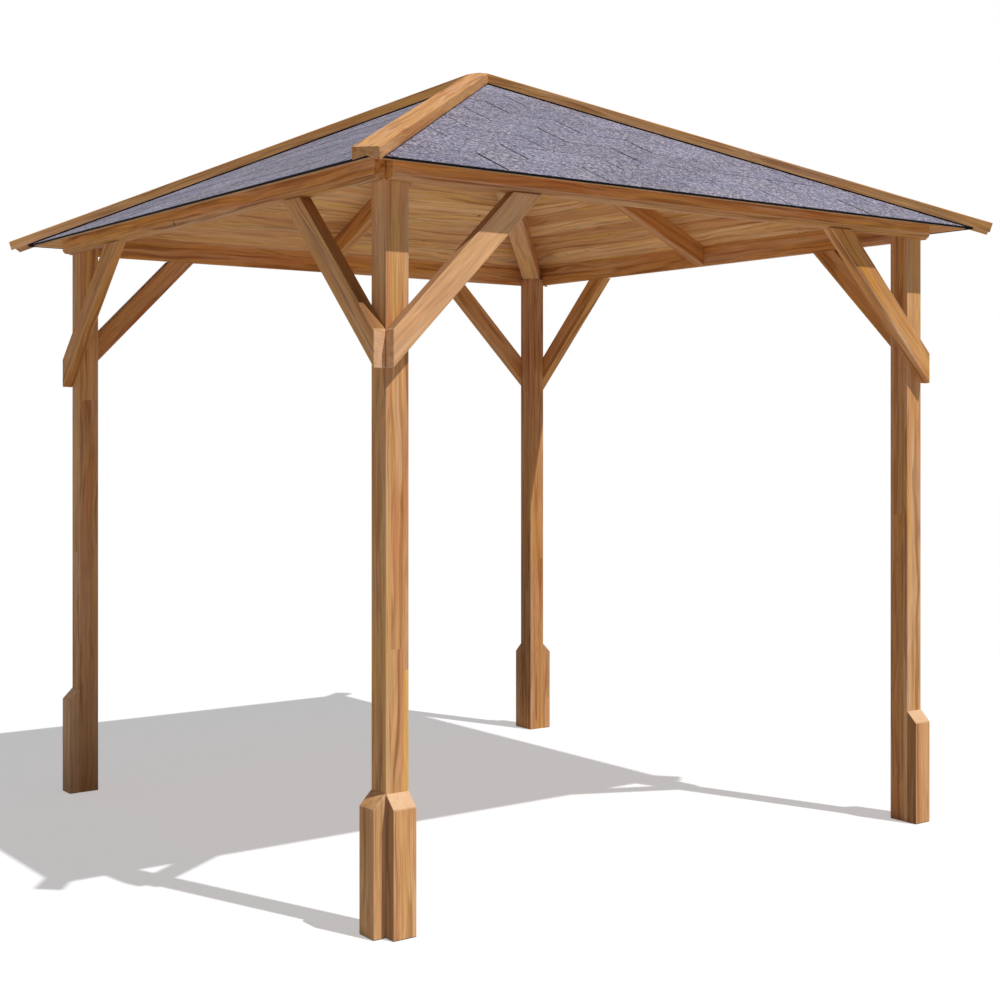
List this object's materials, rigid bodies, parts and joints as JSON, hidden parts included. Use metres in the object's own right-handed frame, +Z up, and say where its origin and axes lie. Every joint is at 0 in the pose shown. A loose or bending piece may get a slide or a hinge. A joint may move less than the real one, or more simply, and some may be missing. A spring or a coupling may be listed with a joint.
{
  "type": "garden gazebo",
  "caption": "Square timber garden gazebo, an open frame on corner posts with braces and foot blocks, under a hipped roof of boards, shingles and hip caps.",
  "frame": {"origin": "on the ground, at the middle of the square of posts", "axes": "+Z up; +X and +Y run along the sides of the square plan, -Y is the front side and -X the left side"},
  "size_m": [3.1728, 3.1728, 3.2525],
  "materials": {
    "post_timber": "planed softwood with a golden brown preservative treatment, satin",
    "frame_timber": "planed softwood with a golden brown preservative treatment, satin",
    "roof_boards": "planed tongue and groove boards with a golden brown preservative treatment, satin",
    "cap_timber": "planed softwood with a golden brown preservative treatment, satin",
    "shingle_felt": "mineral granules on bitumen felt, matt, blue grey"
  },
  "bodies": {
    "root": {"post_front_left": "post_timber", "post_front_right": "post_timber", "post_back_right": "post_timber", "post_back_left": "post_timber", "foot_front_left": "post_timber", "foot_front_right": "post_timber", "foot_right_front": "post_timber", "foot_right_back": "post_timber", "foot_back_right": "post_timber", "foot_back_left": "post_timber", "foot_left_back": "post_timber", "foot_left_front": "post_timber", "brace_front_left": "frame_timber", "brace_front_right": "frame_timber", "brace_right_front": "frame_timber", "brace_right_back": "frame_timber", "brace_back_right": "frame_timber", "brace_back_left": "frame_timber", "brace_left_back": "frame_timber", "brace_left_front": "frame_timber", "beam_front": "frame_timber", "beam_right": "frame_timber", "beam_back": "frame_timber", "beam_left": "frame_timber", "hip_rafter_front_left": "frame_timber", "hip_rafter_front_right": "frame_timber", "hip_rafter_back_right": "frame_timber", "hip_rafter_back_left": "frame_timber", "rafter_front": "frame_timber", "rafter_right": "frame_timber", "rafter_back": "frame_timber", "rafter_left": "frame_timber", "deck_front": "roof_boards", "deck_right": "roof_boards", "deck_back": "roof_boards", "deck_left": "roof_boards", "shingles_front": "shingle_felt", "shingles_right": "shingle_felt", "shingles_back": "shingle_felt", "shingles_left": "shingle_felt", "hip_cap_front_left": "cap_timber", "hip_cap_front_right": "cap_timber", "hip_cap_back_right": "cap_timber", "hip_cap_back_left": "cap_timber"}
  },
  "joints": []
}
